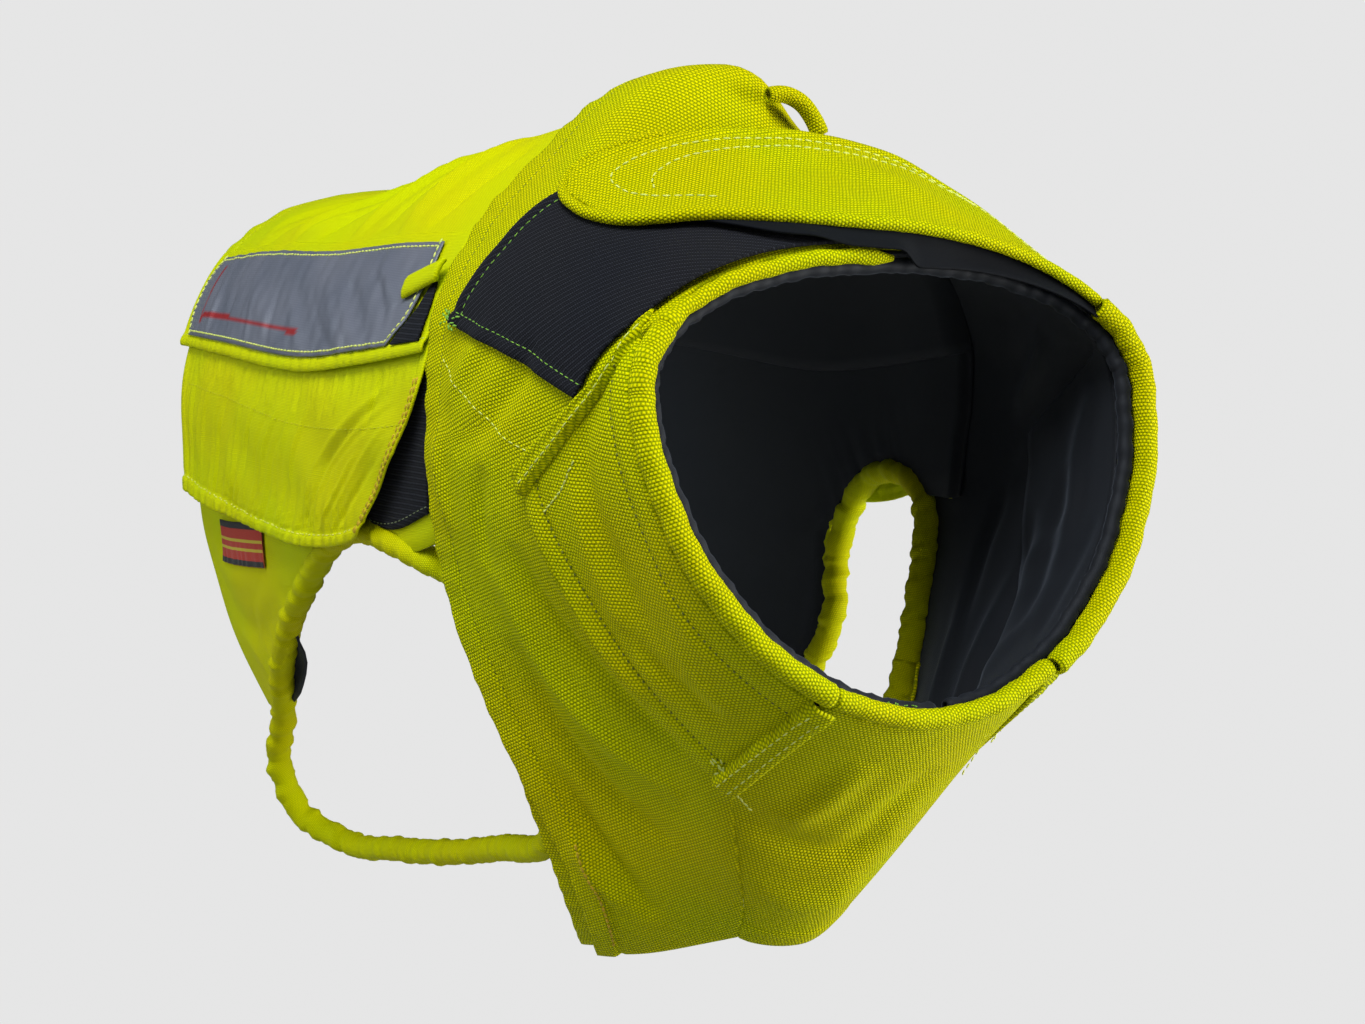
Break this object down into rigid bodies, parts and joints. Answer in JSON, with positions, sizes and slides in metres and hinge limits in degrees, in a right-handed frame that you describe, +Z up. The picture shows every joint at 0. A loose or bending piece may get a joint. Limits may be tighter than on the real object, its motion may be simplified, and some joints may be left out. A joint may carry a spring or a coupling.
{
  "type": "dog protective vest",
  "caption": "High-visibility yellow protective dog vest held in its worn form, with a nape closure flap, neck opening, leg openings and side flaps",
  "frame": {"origin": "the point of the back just behind the neck where the vest rests on the dog's withers, under the back panel", "axes": "+Z up, -Y towards the dog's head, +X towards the dog's left"},
  "size_m": [0.2868, 0.4811, 0.3639],
  "materials": {
    "heavy_weave": "coarse coated basket weave, fluorescent yellow",
    "fine_cloth": "fine matt warning-yellow cloth",
    "elastic_binding": "gathered elastic binding in the fine cloth",
    "lining_cloth": "smooth black lining",
    "loop_fabric": "black brushed loop fabric",
    "reflective_tape": "grey reflective tape, satin",
    "label": "small woven tab"
  },
  "bodies": {
    "root": {"back_lining": "lining_cloth", "back_panel": "fine_cloth", "band_flap_left": "fine_cloth", "band_flap_right": "fine_cloth", "band_loop_left": "loop_fabric", "band_loop_right": "loop_fabric", "belly_lining_left": "lining_cloth", "belly_lining_right": "lining_cloth", "belly_panel_left": "fine_cloth", "belly_panel_right": "fine_cloth", "closure_flap": "heavy_weave", "collar_insert_left": "heavy_weave", "collar_insert_right": "heavy_weave", "collar_lining_left": "lining_cloth", "collar_lining_right": "lining_cloth", "edge_facing_left": "heavy_weave", "edge_facing_right": "heavy_weave", "flap_lining": "loop_fabric", "leg_binding_left": "elastic_binding", "leg_binding_right": "elastic_binding", "loop_patch": "loop_fabric", "nape_loop": "heavy_weave", "pull_tab_left": "fine_cloth", "pull_tab_right": "fine_cloth", "reflective_tape_left": "reflective_tape", "reflective_tape_right": "reflective_tape", "rim_flap": "heavy_weave", "rim_insert_left": "heavy_weave", "rim_insert_right": "heavy_weave", "rim_piping": "lining_cloth", "rim_throat": "heavy_weave", "rim_top": "heavy_weave", "side_flap_left": "fine_cloth", "side_flap_right": "fine_cloth", "side_label": "label", "side_lining_left": "lining_cloth", "side_lining_right": "lining_cloth", "side_loop_left": "loop_fabric", "side_loop_right": "loop_fabric", "side_panel_left": "heavy_weave", "side_panel_right": "heavy_weave", "throat_lining": "lining_cloth", "throat_panel": "heavy_weave"}
  },
  "joints": []
}
